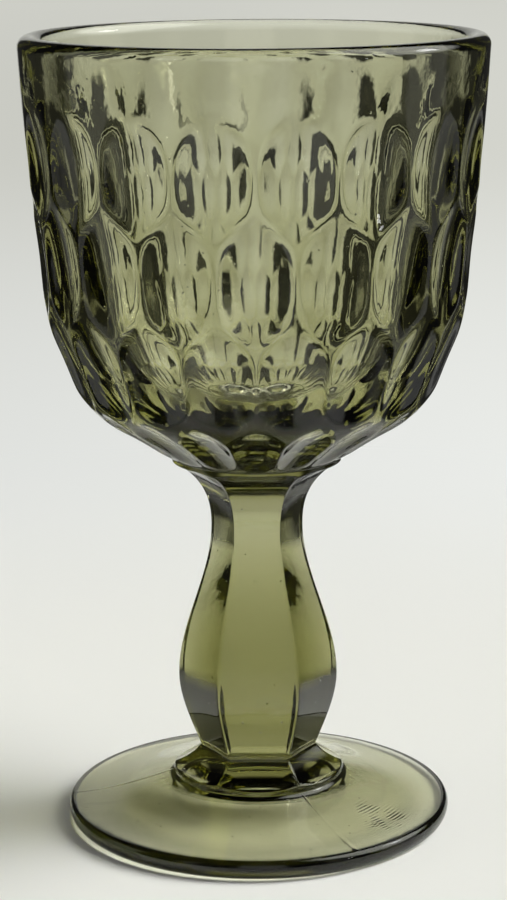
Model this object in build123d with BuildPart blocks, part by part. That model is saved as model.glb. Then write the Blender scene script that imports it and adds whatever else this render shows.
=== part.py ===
"""Water goblet of pressed glass, with thumbprints, a six-sided stem and a round foot.

Sizes are in millimetres. The goblet stands on Z = 0 and its axis is the Z axis. Its sections lie face to face.
"""
import os
from math import atan2, cos, degrees, radians, sin

from build123d import *

os.makedirs("parts", exist_ok=True)

# Heights of the sections, from the table up
foot_height = 8.6
foot_collar_height = 5.2
stem_height = 51.4
bowl_collar_height = 7.0
bowl_height = 79.8

# Foot
foot_radius = 37.3
foot_edge_thickness = 3.8
foot_ring_inner_radius = 27.0
foot_hollow_depth = 4.4
foot_top_slope = 0.33
foot_edge_slope = 0.08

# Collars, each a thin disc with a hollow six-sided flare
flat_count = 6
foot_collar_radius = 16.4
foot_collar_edge = 1.2
foot_flare_hollow = 0.9
bowl_collar_radius = 16.2
bowl_collar_edge = 0.8
bowl_flare_hollow = 1.1

# Stem, with the distances from its axis to its flats
waist_apothem = 9.8
belly_apothem = 13.45
belly_above_waist = 14.6
neck_apothem = 7.65
neck_below_top = 6.8
top_apothem = 8.85
waist_slope = 0.35
top_slope = 0.45

# Bowl
rim_radius = 43.7
lip_thickness = 4.2
shoulder_radius = 40.1
shoulder_height = 32.8
hip_radius = 34.8
hip_height = 14.9
keel_radius = 28.8
keel_height = 7.8
shoulder_wall = 7.6
wall_bulge = 0.3
floor_thickness = 8.0

# Thumbprints, with the places of their rows measured down the outside of the bowl from the rim
prints_per_row = 18
row_places = (22.4, 40.5, 60.0, 79.5)
ball_radius = 26.0
ball_depths = (1.85, 1.85)
flute_radii = (20.0, 10.0)
flute_depths = (1.65, 1.2)
flute_length = 40.0

# Levels of the faces where the sections meet
stem_level = foot_height + foot_collar_height
bowl_collar_level = stem_level + stem_height
bowl_level = bowl_collar_level + bowl_collar_height
rim_level = bowl_level + bowl_height

# The flats face the front and the back, so the corners point to the sides
half_turn = range(flat_count // 2)
first_flat = 90.0
print_pitch = 360 / prints_per_row
neighbour_step = 3


def upright_plane(degrees_round, level):
    """Upright plane through the axis, turned round it from the X axis."""
    turn = radians(degrees_round)
    return Plane((0, 0, level), x_dir=(cos(turn), sin(turn), 0), z_dir=(sin(turn), -cos(turn), 0))


def flat_plane(side, level):
    """Upright plane whose X direction is square to one pair of flats."""
    return upright_plane(first_flat + side * 360 / flat_count, level)


def lean(start, end, start_slope, end_slope):
    """Smooth curve between two heights, with the slope of its distance from the axis at each end."""
    third = (end[1] - start[1]) / 3
    return Bezier(
        start,
        (start[0] + start_slope * third, start[1] + third),
        (end[0] - end_slope * third, end[1] - third),
        end,
    )


# Foot: flat contact ring, hollow below, rounded edge and a top that rises to the collar
with BuildPart() as foot:
    with BuildSketch(Plane.XZ):
        with BuildLine():
            edge = foot_edge_thickness / 2
            Line((0, foot_hollow_depth), (0, foot_height))
            Line((0, foot_height), (foot_collar_radius, foot_height))
            Spline(
                (foot_collar_radius, foot_height),
                (foot_radius - edge, foot_edge_thickness),
                tangents=[(1, -foot_top_slope), (1, -foot_edge_slope)],
            )
            ThreePointArc((foot_radius - edge, foot_edge_thickness), (foot_radius, edge), (foot_radius - edge, 0))
            Line((foot_radius - edge, 0), (foot_ring_inner_radius, 0))
            TangentArc((0, foot_hollow_depth), (foot_ring_inner_radius, 0), tangent=(1, 0))
        make_face()
    revolve(axis=Axis.Z)
foot.part.label = "foot"
export_step(foot.part, "parts/foot.step")

# Foot collar: disc on the foot, with a flare that narrows up to the stem
with BuildPart() as foot_collar:
    for side in half_turn:
        with BuildSketch(flat_plane(side, foot_height)):
            with BuildLine():
                Line((0, 0), (foot_collar_radius, 0))
                Line((foot_collar_radius, 0), (foot_collar_radius, foot_collar_edge))
                SagittaArc(
                    (foot_collar_radius, foot_collar_edge),
                    (waist_apothem, foot_collar_height),
                    foot_flare_hollow,
                )
                Line((waist_apothem, foot_collar_height), (0, foot_collar_height))
                mirror(about=Plane.YZ)
            make_face()
        extrude(amount=foot_collar_radius, both=True, mode=Mode.INTERSECT if side else Mode.ADD)
    with BuildSketch(Plane.XY.offset(foot_height)):
        Circle(foot_collar_radius)
    extrude(amount=foot_collar_height, mode=Mode.INTERSECT)
foot_collar.part.label = "foot_collar"
export_step(foot_collar.part, "parts/foot_collar.step")

# Stem: six-sided baluster
with BuildPart() as stem:
    for side in half_turn:
        with BuildSketch(flat_plane(side, stem_level)):
            with BuildLine():
                neck_height = stem_height - neck_below_top
                Line((0, 0), (waist_apothem, 0))
                lean((waist_apothem, 0), (belly_apothem, belly_above_waist), waist_slope, 0)
                lean((belly_apothem, belly_above_waist), (neck_apothem, neck_height), 0, 0)
                lean((neck_apothem, neck_height), (top_apothem, stem_height), 0, top_slope)
                Line((top_apothem, stem_height), (0, stem_height))
                mirror(about=Plane.YZ)
            make_face()
        extrude(amount=2 * belly_apothem, both=True, mode=Mode.INTERSECT if side else Mode.ADD)
stem.part.label = "stem"
export_step(stem.part, "parts/stem.step")

# Bowl collar: flare that widens up from the stem to a thin disc under the bowl
with BuildPart() as bowl_collar:
    for side in half_turn:
        with BuildSketch(flat_plane(side, bowl_collar_level)):
            with BuildLine():
                disc_height = bowl_collar_height - bowl_collar_edge
                Line((0, 0), (top_apothem, 0))
                SagittaArc((top_apothem, 0), (bowl_collar_radius, disc_height), bowl_flare_hollow)
                Line((bowl_collar_radius, disc_height), (bowl_collar_radius, bowl_collar_height))
                Line((bowl_collar_radius, bowl_collar_height), (0, bowl_collar_height))
                mirror(about=Plane.YZ)
            make_face()
        extrude(amount=bowl_collar_radius, both=True, mode=Mode.INTERSECT if side else Mode.ADD)
    with BuildSketch(Plane.XY.offset(bowl_collar_level)):
        Circle(bowl_collar_radius)
    extrude(amount=bowl_collar_height, mode=Mode.INTERSECT)
bowl_collar.part.label = "bowl_collar"
export_step(bowl_collar.part, "parts/bowl_collar.step")

# Bowl: turned cup, then the thumbprints are cut into its outside
with BuildPart() as bowl:
    with BuildSketch(upright_plane(print_pitch / 4, 0)):
        with BuildLine() as section:
            lip = lip_thickness / 2
            lip_level = rim_level - lip
            shoulder_level = bowl_level + shoulder_height
            floor_level = bowl_level + floor_thickness
            wall = SagittaArc((rim_radius, lip_level), (shoulder_radius, shoulder_level), wall_bulge)
            round_side = TangentArc(wall @ 1, (hip_radius, bowl_level + hip_height), tangent=wall % 1)
            hip = TangentArc(round_side @ 1, (keel_radius, bowl_level + keel_height), tangent=round_side % 1)
            keel = TangentArc(hip @ 1, (bowl_collar_radius, bowl_level), tangent=hip % 1)
            Line((bowl_collar_radius, bowl_level), (0, bowl_level))
            Line((0, bowl_level), (0, floor_level))
            inside = Line((rim_radius - lip_thickness, lip_level), (shoulder_radius - shoulder_wall, shoulder_level))
            Spline(inside @ 1, (0, floor_level), tangents=[inside % 1, (-1, 0)])
            ThreePointArc(wall @ 0, (rim_radius - lip, rim_level), inside @ 0)
        make_face()
    revolve(axis=Axis.Z)
    meridian = Wire([wall, round_side, hip, keel])
    for row, depth in enumerate(ball_depths + flute_depths):
        spot = meridian.position_at(row_places[row] - lip, PositionMode.LENGTH)
        down = meridian.tangent_at(row_places[row] - lip, PositionMode.LENGTH)
        is_ball = row < len(ball_depths)
        radius = ball_radius if is_ball else flute_radii[row - len(ball_depths)]
        reach = spot.X - down.Y * (radius - depth)
        level = spot.Y + down.X * (radius - depth)
        lean_out = degrees(atan2(down.X, down.Y))
        for step in range(neighbour_step):
            start = first_flat + (step + (row + 1) / 2) * print_pitch
            with Locations((0, 0, level)):
                with PolarLocations(reach, prints_per_row // neighbour_step, start):
                    if is_ball:
                        Sphere(radius, mode=Mode.SUBTRACT)
                    else:
                        Cylinder(radius, flute_length, rotation=(0, lean_out, 0), mode=Mode.SUBTRACT)
bowl.part.label = "bowl"
export_step(bowl.part, "parts/bowl.step")
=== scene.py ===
# %% [markdown]
# # A water goblet of olive green pressed glass
# The imported CAD model is loaded first and stays as it is. The real goblet is one annealed body of glass, so
# the lesson builds one closed glass body.

# %% Load the frame
import math

import bpy
import numpy as np
from mathutils import Matrix, Vector


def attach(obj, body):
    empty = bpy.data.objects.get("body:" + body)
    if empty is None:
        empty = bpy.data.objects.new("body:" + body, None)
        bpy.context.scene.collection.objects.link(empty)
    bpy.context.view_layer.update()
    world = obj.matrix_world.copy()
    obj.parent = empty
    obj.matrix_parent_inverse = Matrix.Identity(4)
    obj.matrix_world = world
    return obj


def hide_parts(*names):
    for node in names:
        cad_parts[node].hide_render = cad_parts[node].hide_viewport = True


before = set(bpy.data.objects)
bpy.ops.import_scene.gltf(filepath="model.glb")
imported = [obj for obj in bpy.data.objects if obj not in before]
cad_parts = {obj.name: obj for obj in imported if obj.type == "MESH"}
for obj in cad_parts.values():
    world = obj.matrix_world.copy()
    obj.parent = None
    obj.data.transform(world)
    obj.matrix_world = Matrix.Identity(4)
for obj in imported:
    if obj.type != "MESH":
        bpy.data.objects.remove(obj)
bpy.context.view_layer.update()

MM = 0.001

# %% [markdown]
# The camera comes from the photograph: the ellipses of the rim and the foot give its height, distance and
# lens. It stands about half a metre off, a little above the rim, and looks down by 13 degrees.

# %% Camera
CAMERA_BACK, CAMERA_HEIGHT = 470.87 * MM, 182.31 * MM
CAMERA_PITCH, CAMERA_YAW, CAMERA_ROLL = (math.radians(a) for a in (13.078, -0.070, -0.386))
FOCAL_PIXELS, LONG_SIDE_PIXELS, SENSOR = 2524.1, 900, 36.0

right = Vector((math.cos(CAMERA_YAW), -math.sin(CAMERA_YAW), 0))
ahead = Vector((math.sin(CAMERA_YAW), math.cos(CAMERA_YAW), 0)) * math.cos(CAMERA_PITCH)
ahead -= Vector((0, 0, math.sin(CAMERA_PITCH)))
upward = right.cross(ahead)
rolled_right = right * math.cos(CAMERA_ROLL) + upward * math.sin(CAMERA_ROLL)
rolled_up = upward * math.cos(CAMERA_ROLL) - right * math.sin(CAMERA_ROLL)
bpy.ops.object.camera_add(location=(0, -CAMERA_BACK, CAMERA_HEIGHT))
camera = bpy.context.object
camera.rotation_euler = Matrix((rolled_right, rolled_up, -ahead)).transposed().to_euler()
camera.data.sensor_width = SENSOR
camera.data.lens = FOCAL_PIXELS / LONG_SIDE_PIXELS * SENSOR
camera.data.clip_start = 0.01
bpy.context.scene.camera = camera
print("lens: %.1f mm" % camera.data.lens)

# %% [markdown]
# Pressed glass is shaped by a mould and a plunger, so its inside is a plain turned form and its outside has
# the pattern. Both come from one outline, from the middle of the bowl's floor over the lip and down to the
# hollow under the foot. A Bezier curve could be drawn by eye, but here every point has a size, so the
# outline is worked out in millimetres, as (distance from the axis, height).

# %% Sizes of the goblet
FOOT_HEIGHT, FOOT_COLLAR_HEIGHT, STEM_HEIGHT = 8.6, 5.2, 51.4
BOWL_COLLAR_HEIGHT, BOWL_HEIGHT = 7.0, 79.8
STEM_LEVEL = FOOT_HEIGHT + FOOT_COLLAR_HEIGHT
BOWL_COLLAR_LEVEL = STEM_LEVEL + STEM_HEIGHT
BOWL_LEVEL = BOWL_COLLAR_LEVEL + BOWL_COLLAR_HEIGHT
RIM_LEVEL = BOWL_LEVEL + BOWL_HEIGHT
FOOT_RADIUS, FOOT_EDGE, FOOT_HOLLOW = 37.3, 3.8, 4.4
FOOT_COLLAR_RADIUS, FOOT_COLLAR_EDGE, FOOT_FLARE_HOLLOW = 16.4, 1.2, 0.9
BOWL_COLLAR_RADIUS, BOWL_COLLAR_EDGE, BOWL_FLARE_HOLLOW = 16.2, 0.8, 1.1
WAIST, BELLY, NECK, STEM_TOP = 9.8, 13.45, 7.65, 8.85
BELLY_ABOVE_WAIST, NECK_BELOW_TOP = 14.6, 6.8
RIM_RADIUS, LIP, SHOULDER_RADIUS, SHOULDER_HEIGHT = 43.7, 4.2, 40.1, 32.8
HIP_RADIUS, HIP_HEIGHT, KEEL_RADIUS, KEEL_HEIGHT = 34.8, 14.9, 28.8, 7.8
SHOULDER_WALL, WALL_BULGE, FLOOR = 7.6, 0.3, 8.0
FOOT_BROW, EDGE_LEVEL, RING_RADIUS = 1.0, 2.3, 32.5
VAULT_RADIUS, VAULT_LEVEL, VAULT_SLOPE = 24.0, 0.95, 0.29
TOP_SLOPE, WAIST_SLOPE, FOOT_TOP_SLOPE, BROW_SLOPE, RING_SLOPE = 0.45, 0.35, 0.33, 0.05, 0.05
FLOOR_PULL, SHOULDER_PULL = 1.62, 1.08
print("goblet: %.1f mm tall" % RIM_LEVEL)
print("rim: %.1f mm across, foot: %.1f mm across" % (2 * RIM_RADIUS, 2 * FOOT_RADIUS))

# %% Curves of the outline


def arc_through(start, middle, end, count):
    """Points of a circle's arc through three points."""
    (ax, ay), (bx, by), (cx, cy) = start, middle, end
    d = 2 * (ax * (by - cy) + bx * (cy - ay) + cx * (ay - by))
    ux = ((ax**2 + ay**2) * (by - cy) + (bx**2 + by**2) * (cy - ay) + (cx**2 + cy**2) * (ay - by)) / d
    uy = ((ax**2 + ay**2) * (cx - bx) + (bx**2 + by**2) * (ax - cx) + (cx**2 + cy**2) * (bx - ax)) / d
    first, mid, last = (math.atan2(y - uy, x - ux) for x, y in (start, middle, end))
    turn = (last - first) % (2 * math.pi)
    if (mid - first) % (2 * math.pi) > turn:
        turn -= 2 * math.pi
    angles = first + turn * np.linspace(0, 1, count)
    radius = math.hypot(ax - ux, ay - uy)
    return np.c_[ux + radius * np.cos(angles), uy + radius * np.sin(angles)]


def sagged(start, end, sag, count):
    """An arc between two points that stands off the straight line by sag, to the right of the way along it."""
    (ax, ay), (bx, by) = start, end
    length = math.hypot(bx - ax, by - ay)
    middle = ((ax + bx) / 2 + sag * (by - ay) / length, (ay + by) / 2 - sag * (bx - ax) / length)
    return arc_through(start, middle, end, count)


def tangent_arc(start, direction, end, count):
    """An arc that leaves the start in a direction and reaches the end."""
    start, direction, end = (np.array(v, float) for v in (start, direction, end))
    chord = end - start
    normal = np.array((-direction[1], direction[0])) / np.hypot(*direction)
    radius = chord.dot(chord) / (2 * chord.dot(normal))
    centre = start + radius * normal
    half = np.arctan2(chord[0] * direction[1] - chord[1] * direction[0], chord.dot(direction))
    angles = -2 * half * np.linspace(0, 1, count)
    spoke = start - centre
    c, s = np.cos(angles), np.sin(angles)
    return np.c_[centre[0] + c * spoke[0] - s * spoke[1], centre[1] + s * spoke[0] + c * spoke[1]]


def shares(t):
    """How much the start, the end and the slopes at both count along a smooth curve, from t = 0 to t = 1."""
    return 2 * t**3 - 3 * t**2 + 1, 3 * t**2 - 2 * t**3, t**3 - 2 * t**2 + t, t**3 - t**2


def leaning(start, end, start_slope, end_slope, count):
    """A smooth curve between two heights, with the slope of its distance from the axis at each end."""
    t = np.linspace(0, 1, count)
    rise = end[1] - start[1]
    leave, arrive, leave_slope, arrive_slope = shares(t)
    off_axis = leave * start[0] + leave_slope * rise * start_slope
    off_axis += arrive * end[0] + arrive_slope * rise * end_slope
    return np.c_[off_axis, start[1] + rise * t]


def bent(start, end, start_direction, end_direction, count, start_pull=1.0, end_pull=1.0):
    """A smooth curve between two points that leaves and arrives in given directions."""
    t = np.linspace(0, 1, count)[:, None]
    start, end = np.array(start, float), np.array(end, float)
    reach = np.hypot(*(end - start))
    start_way = np.array(start_direction, float) / np.hypot(*start_direction) * reach * start_pull
    end_way = np.array(end_direction, float) / np.hypot(*end_direction) * reach * end_pull
    leave, arrive, leave_slope, arrive_slope = shares(t)
    return leave * start + leave_slope * start_way + arrive * end + arrive_slope * end_way


def oval(centre, across, up, first, last, count):
    """Points of an oval round a centre, from one angle to another in degrees."""
    angles = np.radians(np.linspace(first, last, count))
    return np.c_[centre[0] + across * np.cos(angles), centre[1] + up * np.sin(angles)]


# %% The outline, in named stretches
lip_level = RIM_LEVEL - LIP / 2
shoulder_level = BOWL_LEVEL + SHOULDER_HEIGHT
neck_level = BOWL_COLLAR_LEVEL - NECK_BELOW_TOP
belly_level = STEM_LEVEL + BELLY_ABOVE_WAIST
inner_rim = (RIM_RADIUS - LIP, lip_level)
inner_shoulder = (SHOULDER_RADIUS - SHOULDER_WALL, shoulder_level)
inner_way = np.subtract(inner_rim, inner_shoulder)
wall = sagged((RIM_RADIUS, lip_level), (SHOULDER_RADIUS, shoulder_level), -WALL_BULGE, 62)
side = tangent_arc(wall[-1], wall[-1] - wall[-2], (HIP_RADIUS, BOWL_LEVEL + HIP_HEIGHT), 30)
hip = tangent_arc(side[-1], side[-1] - side[-2], (KEEL_RADIUS, BOWL_LEVEL + KEEL_HEIGHT), 16)
keel = tangent_arc(hip[-1], hip[-1] - hip[-2], (BOWL_COLLAR_RADIUS, BOWL_LEVEL), 24)
side = np.vstack([side, hip[1:], keel[1:]])
bowl_corner, disc_level = (BOWL_COLLAR_RADIUS, BOWL_LEVEL), BOWL_LEVEL - BOWL_COLLAR_EDGE
disc_corner, stem_corner = (BOWL_COLLAR_RADIUS, disc_level), (STEM_TOP, BOWL_COLLAR_LEVEL)
collar_top = FOOT_HEIGHT + FOOT_COLLAR_EDGE
foot_way, brow_way = (1, -FOOT_TOP_SLOPE), (1, -BROW_SLOPE)
edge = FOOT_EDGE / 2
brow = FOOT_RADIUS - FOOT_BROW
upper_edge = oval((brow, EDGE_LEVEL), FOOT_BROW, FOOT_EDGE - EDGE_LEVEL, 90, 0, 8)
lower_edge = oval((FOOT_RADIUS - edge, EDGE_LEVEL), edge, EDGE_LEVEL, 0, -90, 7)
vault = arc_through((VAULT_RADIUS, VAULT_LEVEL), (0, FOOT_HOLLOW), (-VAULT_RADIUS, VAULT_LEVEL), 15)
stretches = [
    ("floor", bent((0, BOWL_LEVEL + FLOOR), inner_shoulder, (1, 0), inner_way, 22, FLOOR_PULL, SHOULDER_PULL)),
    ("inside", np.linspace(inner_shoulder, inner_rim, 10)),
    ("lip", arc_through(inner_rim, (RIM_RADIUS - LIP / 2, RIM_LEVEL), wall[0], 12)),
    ("wall", wall),
    ("side", side),
    ("bowl_disc", np.linspace(bowl_corner, disc_corner, 4)),
    ("bowl_flare", sagged(disc_corner, stem_corner, BOWL_FLARE_HOLLOW, 14)),
    ("neck", leaning(stem_corner, (NECK, neck_level), TOP_SLOPE, 0, 6)),
    ("baluster", leaning((NECK, neck_level), (BELLY, belly_level), 0, 0, 22)),
    ("base", leaning((BELLY, belly_level), (WAIST, STEM_LEVEL), 0, WAIST_SLOPE, 12)),
    ("foot_flare", sagged((WAIST, STEM_LEVEL), (FOOT_COLLAR_RADIUS, collar_top), FOOT_FLARE_HOLLOW, 12)),
    ("foot_disc", np.linspace((FOOT_COLLAR_RADIUS, collar_top), (FOOT_COLLAR_RADIUS, FOOT_HEIGHT), 4)),
    ("foot_top", bent((FOOT_COLLAR_RADIUS, FOOT_HEIGHT), (brow, FOOT_EDGE), foot_way, brow_way, 16)),
    ("foot_edge", np.vstack([upper_edge, lower_edge[1:]])),
    ("ring", np.linspace((FOOT_RADIUS - edge, 0), (RING_RADIUS, 0), 2)),
    ("hollow", bent((RING_RADIUS, 0), vault[0], (-1, RING_SLOPE), (-1, VAULT_SLOPE), 6)),
    ("vault", vault[:8]),
]
outline, owner = [], []
for number, (name, points) in enumerate(stretches):
    for point in points[1 if number else 0:]:
        outline.append(point)
        owner.append(name)
outline = np.array(outline)
owner = np.array(owner)
outline[0, 0] = outline[-1, 0] = 0.0
print("outline: %d points" % len(outline))

# %% [markdown]
# The outline becomes a body on a lathe: a single point is extruded from place to place along the outline,
# and the spin operator turns the chain once round the axis. Each point first gets the number of its place
# on the outline, and spin copies that number, so the code can find any ring again later.

# %% Turn the outline
COLUMNS = 360
bpy.ops.object.select_all(action="DESELECT")
bpy.ops.mesh.primitive_plane_add(size=2 * MM)
goblet = bpy.context.object
goblet.name = goblet.data.name = "goblet_glass"
bpy.ops.object.mode_set(mode="EDIT")
bpy.ops.mesh.merge(type="CENTER")
bpy.ops.transform.translate(value=(outline[0, 0] * MM, 0, outline[0, 1] * MM))
for step in np.diff(outline, axis=0) * MM:
    bpy.ops.mesh.extrude_vertices_move(TRANSFORM_OT_translate={"value": (step[0], 0, step[1])})
bpy.ops.object.mode_set(mode="OBJECT")
ring_number = goblet.data.attributes.new("ring_number", "INT", "POINT")
ring_number.data.foreach_set("value", np.arange(len(goblet.data.vertices), dtype=np.int32))
bpy.ops.object.mode_set(mode="EDIT")
bpy.ops.mesh.select_all(action="SELECT")
bpy.ops.mesh.spin(steps=COLUMNS, angle=2 * math.pi, center=(0, 0, 0), axis=(0, 0, 1))
bpy.ops.mesh.select_all(action="SELECT")
bpy.ops.mesh.remove_doubles(threshold=1e-7)
bpy.ops.mesh.normals_make_consistent(inside=False)
bpy.ops.object.mode_set(mode="OBJECT")
print("turned: %d points, %d faces" % (len(goblet.data.vertices), len(goblet.data.polygons)))

# %% [markdown]
# Now the turned body is pressed into the mould. The stem and its two flares are six-sided, so each ring
# there is pushed out from a circle to a hexagon with soft corners, and the flares stay inside their round
# discs. A power sum of the six directions does this in one formula, with no seam between flat and corner.
# The columns of points crowd together at every tenth degree, where corners, ridges and seams will be.

# %% Six-sided stem
count = len(goblet.data.vertices)
rings = np.empty(count, np.int32)
goblet.data.attributes["ring_number"].data.foreach_get("value", rings)
flat_coordinates = np.empty(count * 3)
goblet.data.vertices.foreach_get("co", flat_coordinates)
places = flat_coordinates.reshape(-1, 3) / MM
SIDES, FRONT = 6, math.pi / 2
HALF_SIDE = math.pi / SIDES
CORNER_SHARPNESS, DISC_SHARPNESS, NO_DISC = 90.0, 60.0, 1000.0
PANEL_HOLLOW = 0.014
COLUMN_CROWDING, CROWDED_PLACES = 0.5, 36
around = np.arctan2(places[:, 1], places[:, 0])
around = around - COLUMN_CROWDING / CROWDED_PLACES * np.sin(CROWDED_PLACES * around)
distance, height = outline[rings, 0].copy(), outline[rings, 1].copy()
names = owner[rings]
six_sided = np.isin(names, ("bowl_flare", "neck", "baluster", "base", "foot_flare"))
facings = [FRONT + 2 * number * HALF_SIDE for number in range(SIDES)]
facing_shares = [np.maximum(np.cos(around - facing), 0) for facing in facings]
hexagon = sum(share**CORNER_SHARPNESS for share in facing_shares) ** (-1 / CORNER_SHARPNESS)
disc = np.full(count, NO_DISC)
disc[names == "bowl_flare"] = BOWL_COLLAR_RADIUS
disc[names == "foot_flare"] = FOOT_COLLAR_RADIUS
from_flat = (around - FRONT + HALF_SIDE) % (2 * HALF_SIDE) - HALF_SIDE
panel = 1 - (np.tan(from_flat) / math.tan(HALF_SIDE)) ** 2
six = distance * (hexagon - PANEL_HOLLOW * panel)
six = (six**-DISC_SHARPNESS + disc**-DISC_SHARPNESS) ** (-1 / DISC_SHARPNESS)
distance = np.where(six_sided, six, distance)
print("corners of the stem reach %.2f mm from the axis" % distance[six_sided & (names == "baluster")].max())

# %% [markdown]
# The thumbprints are hollows in the outside of the bowl, in four staggered rows of eighteen. Cutting them
# with 72 balls and a Boolean would leave razor edges and slivers, while pressed glass has soft ridges. So
# each point of the wall works out how deep a ball-ended or fluted cutter would take it, and a smooth
# maximum joins neighbouring hollows in a rounded ridge.

# %% Thumbprints
PRINTS = 18
ROW_PLACES = (22.6, 40.5, 60.4, 79.2)
CUTTER_RADII = (17.0, 18.0, 19.0, 9.0)
CUTTER_STRETCH = (0.70, 0.62, 0.46, 0.36)
CUTTER_DEPTHS = (1.78, 1.6, 1.75, 1.4)
SIDE_SOFTNESS = (0.72, 0.70, 0.40, 0.28)
RIDGE_SOFTNESS, DISC_MARGIN = 0.18, 2.5
CLEAR, DEEPEST = -20, 4
pattern = np.vstack([wall, side[1:]])
run = np.r_[0, np.cumsum(np.hypot(*np.diff(pattern, axis=0).T))]
way = np.gradient(pattern, run, axis=0)
way /= np.hypot(way[:, 0], way[:, 1])[:, None]
patterned = np.isin(names, ("wall", "side"))
first_ring = int(np.argmax(owner == "wall"))
index = np.clip(rings[patterned] - first_ring + 1, 0, len(pattern) - 1)
angle = around[patterned]
out = np.c_[-way[index, 1], way[index, 0]]
point = np.c_[distance[patterned] * np.cos(angle), distance[patterned] * np.sin(angle), height[patterned]]
normal = np.c_[out[:, 0] * np.cos(angle), out[:, 0] * np.sin(angle), out[:, 1]]
total = np.ones(len(angle))
pitch = 2 * math.pi / PRINTS
cutters = zip(ROW_PLACES, CUTTER_RADII, CUTTER_STRETCH, CUTTER_DEPTHS, SIDE_SOFTNESS)
for row, (place, radius, stretch, depth, softness) in enumerate(cutters):
    along = place - LIP / 2
    spot = np.array([np.interp(along, run, pattern[:, k]) for k in (0, 1)])
    down = np.array([np.interp(along, run, way[:, k]) for k in (0, 1)])
    down /= np.hypot(*down)
    centre = spot + np.array((-down[1], down[0])) * (radius - depth)
    first = FRONT + (row + 1) / 2 * pitch
    nearest = np.round((angle - first) / pitch)
    row_total = np.zeros(len(angle))
    for neighbour in (-1, 0, 1):
        turn = first + (nearest + neighbour) * pitch
        cutter = np.c_[centre[0] * np.cos(turn), centre[0] * np.sin(turn), np.full(len(turn), centre[1])]
        axis = np.c_[down[0] * np.cos(turn), down[0] * np.sin(turn), np.full(len(turn), down[1])]
        gap, direction = point - cutter, normal.copy()
        for vector in (gap, direction):
            vector -= (1 - stretch) * (vector * axis).sum(1)[:, None] * axis
        a = (direction**2).sum(1)
        b = (gap * direction).sum(1)
        inside_root = np.maximum(b**2 - a * ((gap**2).sum(1) - radius**2), 0)
        reach = np.where(b < 0, (b + np.sqrt(inside_root)) / a, CLEAR)
        row_total += np.exp(np.clip(reach, CLEAR, DEEPEST) / softness)
    total += np.exp(softness * np.log(row_total) / RIDGE_SOFTNESS)
to_disc = np.clip((run[-1] - run[index]) / DISC_MARGIN, 0, 1)
pressed = RIDGE_SOFTNESS * np.log(total) * to_disc * (2 - to_disc)
distance[patterned] -= pressed * out[:, 0]
height[patterned] -= pressed * out[:, 1]
print("thumbprints: up to %.2f mm deep" % pressed.max())

# %% [markdown]
# The mould of the foot opens in three parts, and a fine seam stands on the glass where they meet. The columns
# of the turned body crowd together there, so one column is lifted a few hundredths of a millimetre.

# %% Mould seams
SEAM_HEIGHT, SEAM_WIDTH = 0.07, math.radians(0.4)
SEAMS = [math.radians(a) for a in (180, 300, 60)]
off_seam = np.min([np.abs((around - a + math.pi) % (2 * math.pi) - math.pi) for a in SEAMS], axis=0)
seam = np.where(names == "foot_top", SEAM_HEIGHT * np.exp(-(off_seam / SEAM_WIDTH) ** 2), 0)
height += seam
print("seams: %d points lifted" % (seam > SEAM_HEIGHT / 2).sum())

# %% [markdown]
# All the pressing so far was worked out in lists of numbers. Moving about 99,000 points with operators would
# take minutes, so the new places are written back to the mesh in one go. The glass then rides on the CAD's
# only body and stands for its five nodes.

# %% Write the pressed shape back
places = np.c_[distance * np.cos(around), distance * np.sin(around), height]
places[outline[rings, 0] == 0, :2] = 0
goblet.data.vertices.foreach_set("co", (places * MM).ravel())
goblet.data.attributes.remove(goblet.data.attributes["ring_number"])
goblet.data.update()
bpy.ops.object.select_all(action="DESELECT")
goblet.select_set(True)
bpy.context.view_layer.objects.active = goblet
bpy.ops.object.shade_smooth()
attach(goblet, "root")
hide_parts("bowl", "bowl_collar", "stem", "foot_collar", "foot")
print("pressed: highest point %.2f mm" % places[:, 2].max())

# %% [markdown]
# The glass is tinted in the mass: thin walls look pale and the thick stem looks dark. A coloured surface
# would tint both alike, so the surface is clear and the colour comes from a volume that absorbs light.

# %% Short ways to add nodes


class NodeBench:
    """Short ways to add nodes to one node tree."""

    def __init__(self, tree):
        self.nodes, self.links = tree.nodes, tree.links

    def add(self, kind, **settings):
        node = self.nodes.new("ShaderNode" + kind)
        for name, value in settings.items():
            setattr(node, name, value)
        return node

    def feed(self, socket, value):
        if isinstance(value, bpy.types.NodeSocket):
            self.links.new(value, socket)
        else:
            socket.default_value = value

    def math(self, operation, *values):
        node = self.add("Math", operation=operation)
        for socket, value in zip(node.inputs, values):
            self.feed(socket, value)
        return node.outputs[0]

    def ramp(self, value, start, end, low, high):
        """A smooth step of a value, from low at the start to high at the end."""
        node = self.add("MapRange", interpolation_type="SMOOTHSTEP")
        for socket, number in zip(node.inputs[:5], (value, start, end, low, high)):
            self.feed(socket, number)
        return node.outputs[0]

    def blend(self, factor, first, second):
        """One colour that turns into another."""
        node = self.add("Mix", data_type="RGBA")
        for socket, value in zip((node.inputs[0], node.inputs[6], node.inputs[7]), (factor, first, second)):
            self.feed(socket, value)
        return node.outputs[2]


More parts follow.
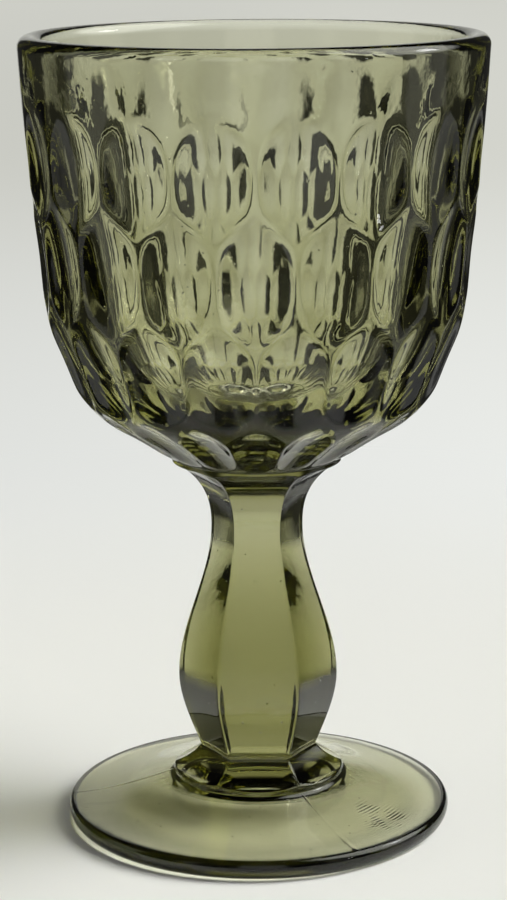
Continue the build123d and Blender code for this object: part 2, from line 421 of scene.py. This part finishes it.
# %% Olive green glass
REFRACTION = 1.51
TINT, TINT_PER_METRE = (0.50, 0.50, 0.095), 106.0
glass = bpy.data.materials.new("olive_green_glass")
glass.use_nodes = True
bench = NodeBench(glass.node_tree)
shader = bench.nodes["Principled BSDF"]
shader.inputs["Base Color"].default_value = (1, 1, 1, 1)
shader.inputs["IOR"].default_value = REFRACTION
shader.inputs["Transmission Weight"].default_value = 1.0
tint = bench.add("VolumeAbsorption")
tint.inputs["Color"].default_value = (*TINT, 1)
tint.inputs["Density"].default_value = TINT_PER_METRE
bench.links.new(tint.outputs["Volume"], bench.nodes["Material Output"].inputs["Volume"])
kept = [math.exp(-TINT_PER_METRE * (1 - part) * LIP * MM) for part in TINT]
print("light left after %.1f mm of glass: %.2f red, %.2f green, %.2f blue" % (LIP, *kept))

# %% [markdown]
# Pressed glass is never quite even. It chills against the mould in faint waves, and it has a few seeds, which
# are small pits and bubbles. Shaping these in the mesh would take millions of faces, so they go into a bump,
# in metres of height. The foot is calmer than the rest, and the lip is fire-polished, so it has no seeds.

# %% Waves and seeds
WAVES_PER_METRE, WAVE_STRETCH, WAVE_HEIGHT = 150, (1, 1, 0.7), 6.0e-5
STREAKS_PER_METRE, STREAK_STRETCH, STREAK_HEIGHT = 420, (1, 1, 0.8), 2.5e-5
SEEDS_PER_METRE, SEED_SHARE, SEED_DEPTH = 300.0, 0.07, 1.2e-4
CALM_BELOW, CALM_ABOVE, CALM_SHARE = 0.010, 0.024, 0.2
POLISH_START, POLISH_END = 0.138, 0.146
NOISE_DETAIL, EVEN = 2.0, (1, 1, 1)
place = bench.add("TexCoord").outputs["Object"]


def grain(scale, stretch):
    """Soft noise from 0 to 1, with its scale per metre and a stretch of its three directions."""
    mapping = bench.add("Mapping")
    bench.links.new(place, mapping.inputs["Vector"])
    mapping.inputs["Scale"].default_value = stretch
    noise = bench.add("TexNoise")
    bench.links.new(mapping.outputs[0], noise.inputs["Vector"])
    noise.inputs["Scale"].default_value = scale
    noise.inputs["Detail"].default_value = NOISE_DETAIL
    return noise.outputs[0]


spot = bench.add("SeparateXYZ")
bench.links.new(place, spot.inputs[0])
waves = bench.math("MULTIPLY", grain(WAVES_PER_METRE, WAVE_STRETCH), WAVE_HEIGHT)
streaks = bench.math("MULTIPLY", grain(STREAKS_PER_METRE, STREAK_STRETCH), STREAK_HEIGHT)
calm_foot = bench.ramp(spot.outputs["Z"], CALM_BELOW, CALM_ABOVE, CALM_SHARE, 1.0)
unevenness = bench.math("MULTIPLY", bench.math("ADD", waves, streaks), calm_foot)
seeds = bench.add("TexVoronoi")
bench.links.new(place, seeds.inputs["Vector"])
seeds.inputs["Scale"].default_value = SEEDS_PER_METRE
pits = bench.ramp(seeds.outputs["Distance"], 0.0, SEED_SHARE, -SEED_DEPTH, 0.0)
below_lip = bench.ramp(spot.outputs["Z"], POLISH_START, POLISH_END, 1.0, 0.0)
relief = bench.math("ADD", unevenness, bench.math("MULTIPLY", pits, below_lip))
print("waves: %.2f mm, seeds: %.2f mm deep" % (WAVE_HEIGHT / MM, SEED_DEPTH / MM))

# %% [markdown]
# At the right of the foot, the glass met the mould while it was too cold, and has a patch of fine furrows,
# which are called chill marks. They run round the axis, so a sine of the distance from the axis draws them,
# and noise breaks them up. The surface is also rubbed by use, which goes into the roughness.

# %% Chill marks and wear
CHILL_PITCH, CHILL_DEPTH = 0.0007, 5.0e-5
CHILL_PLACE, CHILL_SPREAD, CHILL_CORE = (0.023, -0.0165, 0.005), 0.0065, 0.3
BREAKS_PER_METRE, BREAK_START, BREAK_END = 400, 0.38, 0.62
RUBS_PER_METRE, RUB_START, RUB_END, RUBBED_ROUGHNESS = 60, 0.45, 0.75, 0.025
square_x, square_y = (bench.math("POWER", spot.outputs[name], 2) for name in "XY")
off_axis = bench.math("SQRT", bench.math("ADD", square_x, square_y))
furrows = bench.math("SINE", bench.math("MULTIPLY", off_axis, 2 * math.pi / CHILL_PITCH))
broken = bench.ramp(grain(BREAKS_PER_METRE, EVEN), BREAK_START, BREAK_END, 0.0, 1.0)
off_mark = bench.add("VectorMath", operation="DISTANCE")
bench.links.new(place, off_mark.inputs[0])
off_mark.inputs[1].default_value = CHILL_PLACE
patch = bench.ramp(off_mark.outputs["Value"], CHILL_CORE * CHILL_SPREAD, CHILL_SPREAD, CHILL_DEPTH, 0.0)
chill = bench.math("MULTIPLY", bench.math("MULTIPLY", furrows, broken), patch)
bump = bench.add("Bump")
bump.inputs["Distance"].default_value = 1.0
bench.links.new(bench.math("ADD", relief, chill), bump.inputs["Height"])
bench.links.new(bump.outputs[0], shader.inputs["Normal"])
rubbed = bench.ramp(grain(RUBS_PER_METRE, EVEN), RUB_START, RUB_END, 0.0, RUBBED_ROUGHNESS)
bench.links.new(rubbed, shader.inputs["Roughness"])
goblet.data.materials.clear()
goblet.data.materials.append(glass)
print("glass: %d nodes" % len(bench.nodes))

# %% [markdown]
# Clear things are drawn by their surroundings. A goblet in front of nothing but white would have no edges,
# so a photographer stands dark screens beside it, and a pale gap is left behind it. Here the gaps repeat at
# all four sides, and narrower, dimmer ones stand at the corners between them, so the glass is clear from
# every side. The gaps at the left and right are a little dimmer for the glass than those in front and behind.
# Places and tones are fitted to the dark bars and ovals in the photograph. The world shader does this with
# the direction of a ray, and the camera itself sees only an even pale tone.

# %% Surroundings that the glass shows
PALE, FAR_PALE = (0.80, 0.815, 0.79), (0.62, 0.625, 0.575)
SCREEN_LEVEL, CORNER_LEVEL, SIDE_LEVEL = 0.055, 0.55, 0.7
GAP_PERIOD, GAP_TURN, GAP_HALF_WIDTH, GAP_EDGE, CORNER_HALF_WIDTH = (
    math.radians(a) for a in (90, 2, 13.5, 2.5, 11))
GAP_TOP_START, GAP_TOP_END, ABOVE_GAP = 0.40, 0.65, 0.12
LOW_END, LOW_START, BACK_CORNER_SHARE = -0.23, -0.13, 0.1
scene = bpy.context.scene
scene.view_settings.view_transform = "Standard"
scene.cycles.max_bounces = 24
scene.cycles.transmission_bounces = 24
scene.cycles.transparent_max_bounces = 24
scene.cycles.glossy_bounces = 8
scene.cycles.blur_glossy = 0.0


def off_gap(bench, x, y):
    """How far a way round the goblet is turned off the middle of the nearest gap."""
    bearing = bench.math("SUBTRACT", bench.math("ARCTAN2", y, x), GAP_TURN)
    return bench.math("PINGPONG", bearing, GAP_PERIOD / 2)


def to_side(bench, x, y):
    """One where a way goes more to a side than to the front or back."""
    return bench.math("GREATER_THAN", bench.math("ABSOLUTE", x), bench.math("ABSOLUTE", y))


world = bpy.data.worlds.new("studio")
scene.world = world
world.use_nodes = True
bench = NodeBench(world.node_tree)
compass = bench.add("SeparateXYZ")
direction = bench.add("TexCoord").outputs["Generated"]
bench.links.new(direction, compass.inputs[0])
east, north, rise = (compass.outputs[name] for name in "XYZ")
path = bench.add("LightPath")
# A ray counts as glossy when the glass has mirrored or bent it.
from_glass = path.outputs["Is Glossy Ray"]
offset = off_gap(bench, east, north)
gap = bench.ramp(offset, GAP_HALF_WIDTH - GAP_EDGE, GAP_HALF_WIDTH + GAP_EDGE, 1.0, SCREEN_LEVEL)
corner = bench.ramp(offset, GAP_PERIOD / 2 - CORNER_HALF_WIDTH, GAP_PERIOD / 2, 0.0, CORNER_LEVEL)
back_corner = bench.ramp(rise, LOW_END, LOW_START, 1.0, BACK_CORNER_SHARE)
corner_share = bench.math("MAXIMUM", back_corner, bench.math("LESS_THAN", north, 0.0))
pale = bench.math("MAXIMUM", gap, bench.math("MULTIPLY", corner, corner_share))
height_share = bench.ramp(rise, GAP_TOP_START, GAP_TOP_END, 1.0, ABOVE_GAP)
beside_glass = bench.math("MULTIPLY", from_glass, to_side(bench, east, north))
side_share = bench.ramp(beside_glass, 0.0, 1.0, 1.0, SIDE_LEVEL)
around_glass = bench.math("MULTIPLY", bench.math("MULTIPLY", pale, height_share), side_share)
print("surroundings: a pale gap every %.0f degrees" % math.degrees(GAP_PERIOD))

# %% [markdown]
# The paper needs a light that casts the shadow at the left of the foot. A lamp would do, but the glass would
# show it as a hard square, so a round patch of the sky at the right lights the paper alone, with a faint dome
# that fills the shadow. The glass sees a wider and weaker patch in its place, and gets a soft highlight from
# it along the foot's edge.

# %% Light for the paper
WARM = (1.0, 0.985, 0.95)
DOME_LEVEL, SKYLIGHT_LEVEL, GLOW_LEVEL = 0.15, 10.4, 5.5
SKYLIGHT_WAY = Vector((0.72, 0.03, 0.68)).normalized()
SKYLIGHT_EDGE, SKYLIGHT_CORE, GLOW_EDGE, GLOW_CORE = 0.91, 0.98, 0.80, 0.93
NEAR_RISE, FAR_RISE = -0.50, -0.15
by_camera = path.outputs["Is Camera Ray"]
on_paper = bench.math("GREATER_THAN", path.outputs["Diffuse Depth"], 0.5)
towards = bench.add("VectorMath", operation="DOT_PRODUCT")
bench.links.new(direction, towards.inputs[0])
towards.inputs[1].default_value = SKYLIGHT_WAY
skylight = bench.ramp(towards.outputs["Value"], SKYLIGHT_EDGE, SKYLIGHT_CORE, 0.0, SKYLIGHT_LEVEL)
glow = bench.ramp(towards.outputs["Value"], GLOW_EDGE, GLOW_CORE, 0.0, GLOW_LEVEL)
paper_light = bench.math("MULTIPLY", on_paper, bench.math("ADD", skylight, DOME_LEVEL))
glass_glow = bench.math("MULTIPLY", bench.math("GREATER_THAN", from_glass, on_paper), glow)
sky = bench.math("ADD", paper_light, glass_glow)
brightness = bench.math("MAXIMUM", bench.math("MAXIMUM", around_glass, sky), by_camera)
far_share = bench.math("MAXIMUM", by_camera, bench.ramp(rise, NEAR_RISE, FAR_RISE, 0.0, 1.0))
colour = bench.blend(far_share, (*PALE, 1), (*FAR_PALE, 1))
background = bench.nodes["Background"]
bench.links.new(brightness, background.inputs["Strength"])
bench.links.new(bench.blend(on_paper, colour, (*WARM, 1)), background.inputs["Color"])
print("skylight: %.0f degrees up" % math.degrees(math.asin(SKYLIGHT_WAY.z)))

# %% [markdown]
# The table is a sheet of pale paper. Close to the goblet it is lit by the studio and takes the shadow. Further
# off it turns into a glowing pale tone for the camera, darker further off, with painted light that makes it a
# little lighter at the right.

# %% Paper as the camera sees it
TABLE_RADIUS, TABLE_LEVEL, TABLE_POINTS = 4.0, -0.0002, 96
TONE_START, TONE_END, FAR_TONE_END = 0.10, 0.32, 1.25
SIDE_REACH, PAINTED_SIDE_LIGHT, SIDE_FADE_START, SIDE_FADE_END = 0.12, 0.05, 1.5, 3.8
bpy.ops.object.select_all(action="DESELECT")
bpy.ops.mesh.primitive_circle_add(
    vertices=TABLE_POINTS, radius=TABLE_RADIUS, fill_type="NGON", location=(0, 0, TABLE_LEVEL))
table = bpy.context.object
table.name = "table"
paper = bpy.data.materials.new("pale_paper")
paper.use_nodes = True
bench = NodeBench(paper.node_tree)
lit = bench.nodes["Principled BSDF"]
lit.inputs["Base Color"].default_value = (*PALE, 1)
lit.inputs["Roughness"].default_value = 0.9
lit.inputs["Specular IOR Level"].default_value = 0.1
place = bench.add("TexCoord").outputs["Object"]
length = bench.add("VectorMath", operation="LENGTH")
bench.links.new(place, length.inputs[0])
reach = length.outputs["Value"]
spot = bench.add("SeparateXYZ")
bench.links.new(place, spot.inputs[0])
# Painted light: the far paper's glow is a little stronger at the right, as if lit from that side.
painted_right_light = bench.ramp(spot.outputs["X"], -SIDE_REACH, SIDE_REACH, -PAINTED_SIDE_LIGHT, PAINTED_SIDE_LIGHT)
painted_light_fading = bench.ramp(reach, SIDE_FADE_START, SIDE_FADE_END, 1.0, 0.0)
tone_colour = bench.blend(bench.ramp(reach, TONE_START, FAR_TONE_END, 0.0, 1.0), (*PALE, 1), (*FAR_PALE, 1))
tone = bench.add("Emission")
bench.links.new(tone_colour, tone.inputs["Color"])
bench.links.new(bench.math("ADD", 1.0, bench.math("MULTIPLY", painted_right_light, painted_light_fading)), tone.inputs["Strength"])


def mix_shaders(factor, first, second):
    """A shader that turns from the first to the second as the factor goes from 0 to 1."""
    mix = bench.add("MixShader")
    for socket, output in zip(mix.inputs, (factor, first.outputs[0], second.outputs[0])):
        bench.links.new(output, socket)
    return mix


seen = mix_shaders(bench.ramp(reach, TONE_START, TONE_END, 0.0, 1.0), lit, tone)
table.data.materials.append(paper)
print("table: %.1f m across" % (2 * TABLE_RADIUS))

# %% [markdown]
# The screens of a real studio stand on the table and hide most of it from the glass. So the glass sees the
# paper only near the foot and in the gaps in front and behind, and elsewhere it looks through to the screens.

# %% Paper as the glass sees it
PAPER_RADIUS, PAPER_FADE = 0.108, 0.024
path = bench.add("LightPath")
offset = off_gap(bench, spot.outputs["X"], spot.outputs["Y"])
off_paper = bench.ramp(offset, GAP_HALF_WIDTH - GAP_EDGE, GAP_HALF_WIDTH + GAP_EDGE, 0.0, 1.0)
outside = bench.ramp(reach, PAPER_RADIUS - PAPER_FADE, PAPER_RADIUS + PAPER_FADE, 0.0, 1.0)
side_gap = to_side(bench, spot.outputs["X"], spot.outputs["Y"])
unseen = bench.math("MULTIPLY", path.outputs["Is Glossy Ray"], side_gap)
hidden = bench.math("MULTIPLY", outside, bench.math("MAXIMUM", off_paper, unseen))
sensed = mix_shaders(hidden, seen, bench.add("BsdfTransparent"))
either = mix_shaders(path.outputs["Is Camera Ray"], sensed, seen)
bench.links.new(either.outputs[0], bench.nodes["Material Output"].inputs["Surface"])
print("paper round the foot: %.0f mm" % (PAPER_RADIUS / MM))

# %% [markdown]
# Two soft boxes add what the sky can't: one at the right and above puts the highlights on the rim, and a
# small one at the right and in front makes a glint in the bowl. Each is turned to face the goblet's middle.

# %% Lamps
LAMP_AIM = Vector((0, 0, 0.08))


def soft_box(name, place, size, power):
    """A square soft box that faces the middle of the goblet."""
    bpy.ops.object.light_add(type="AREA", location=place)
    lamp = bpy.context.object
    lamp.name = name
    lamp.data.size = size
    lamp.data.energy = power
    lamp.rotation_euler = (LAMP_AIM - Vector(place)).to_track_quat("-Z", "Y").to_euler()
    print("%s: %.2f m wide, %.2f W" % (name, size, power))


soft_box("right_box", (0.85, 0.12, 0.62), 0.20, 1.0)
soft_box("window_box", (0.75, -0.55, 0.22), 0.05, 0.07)
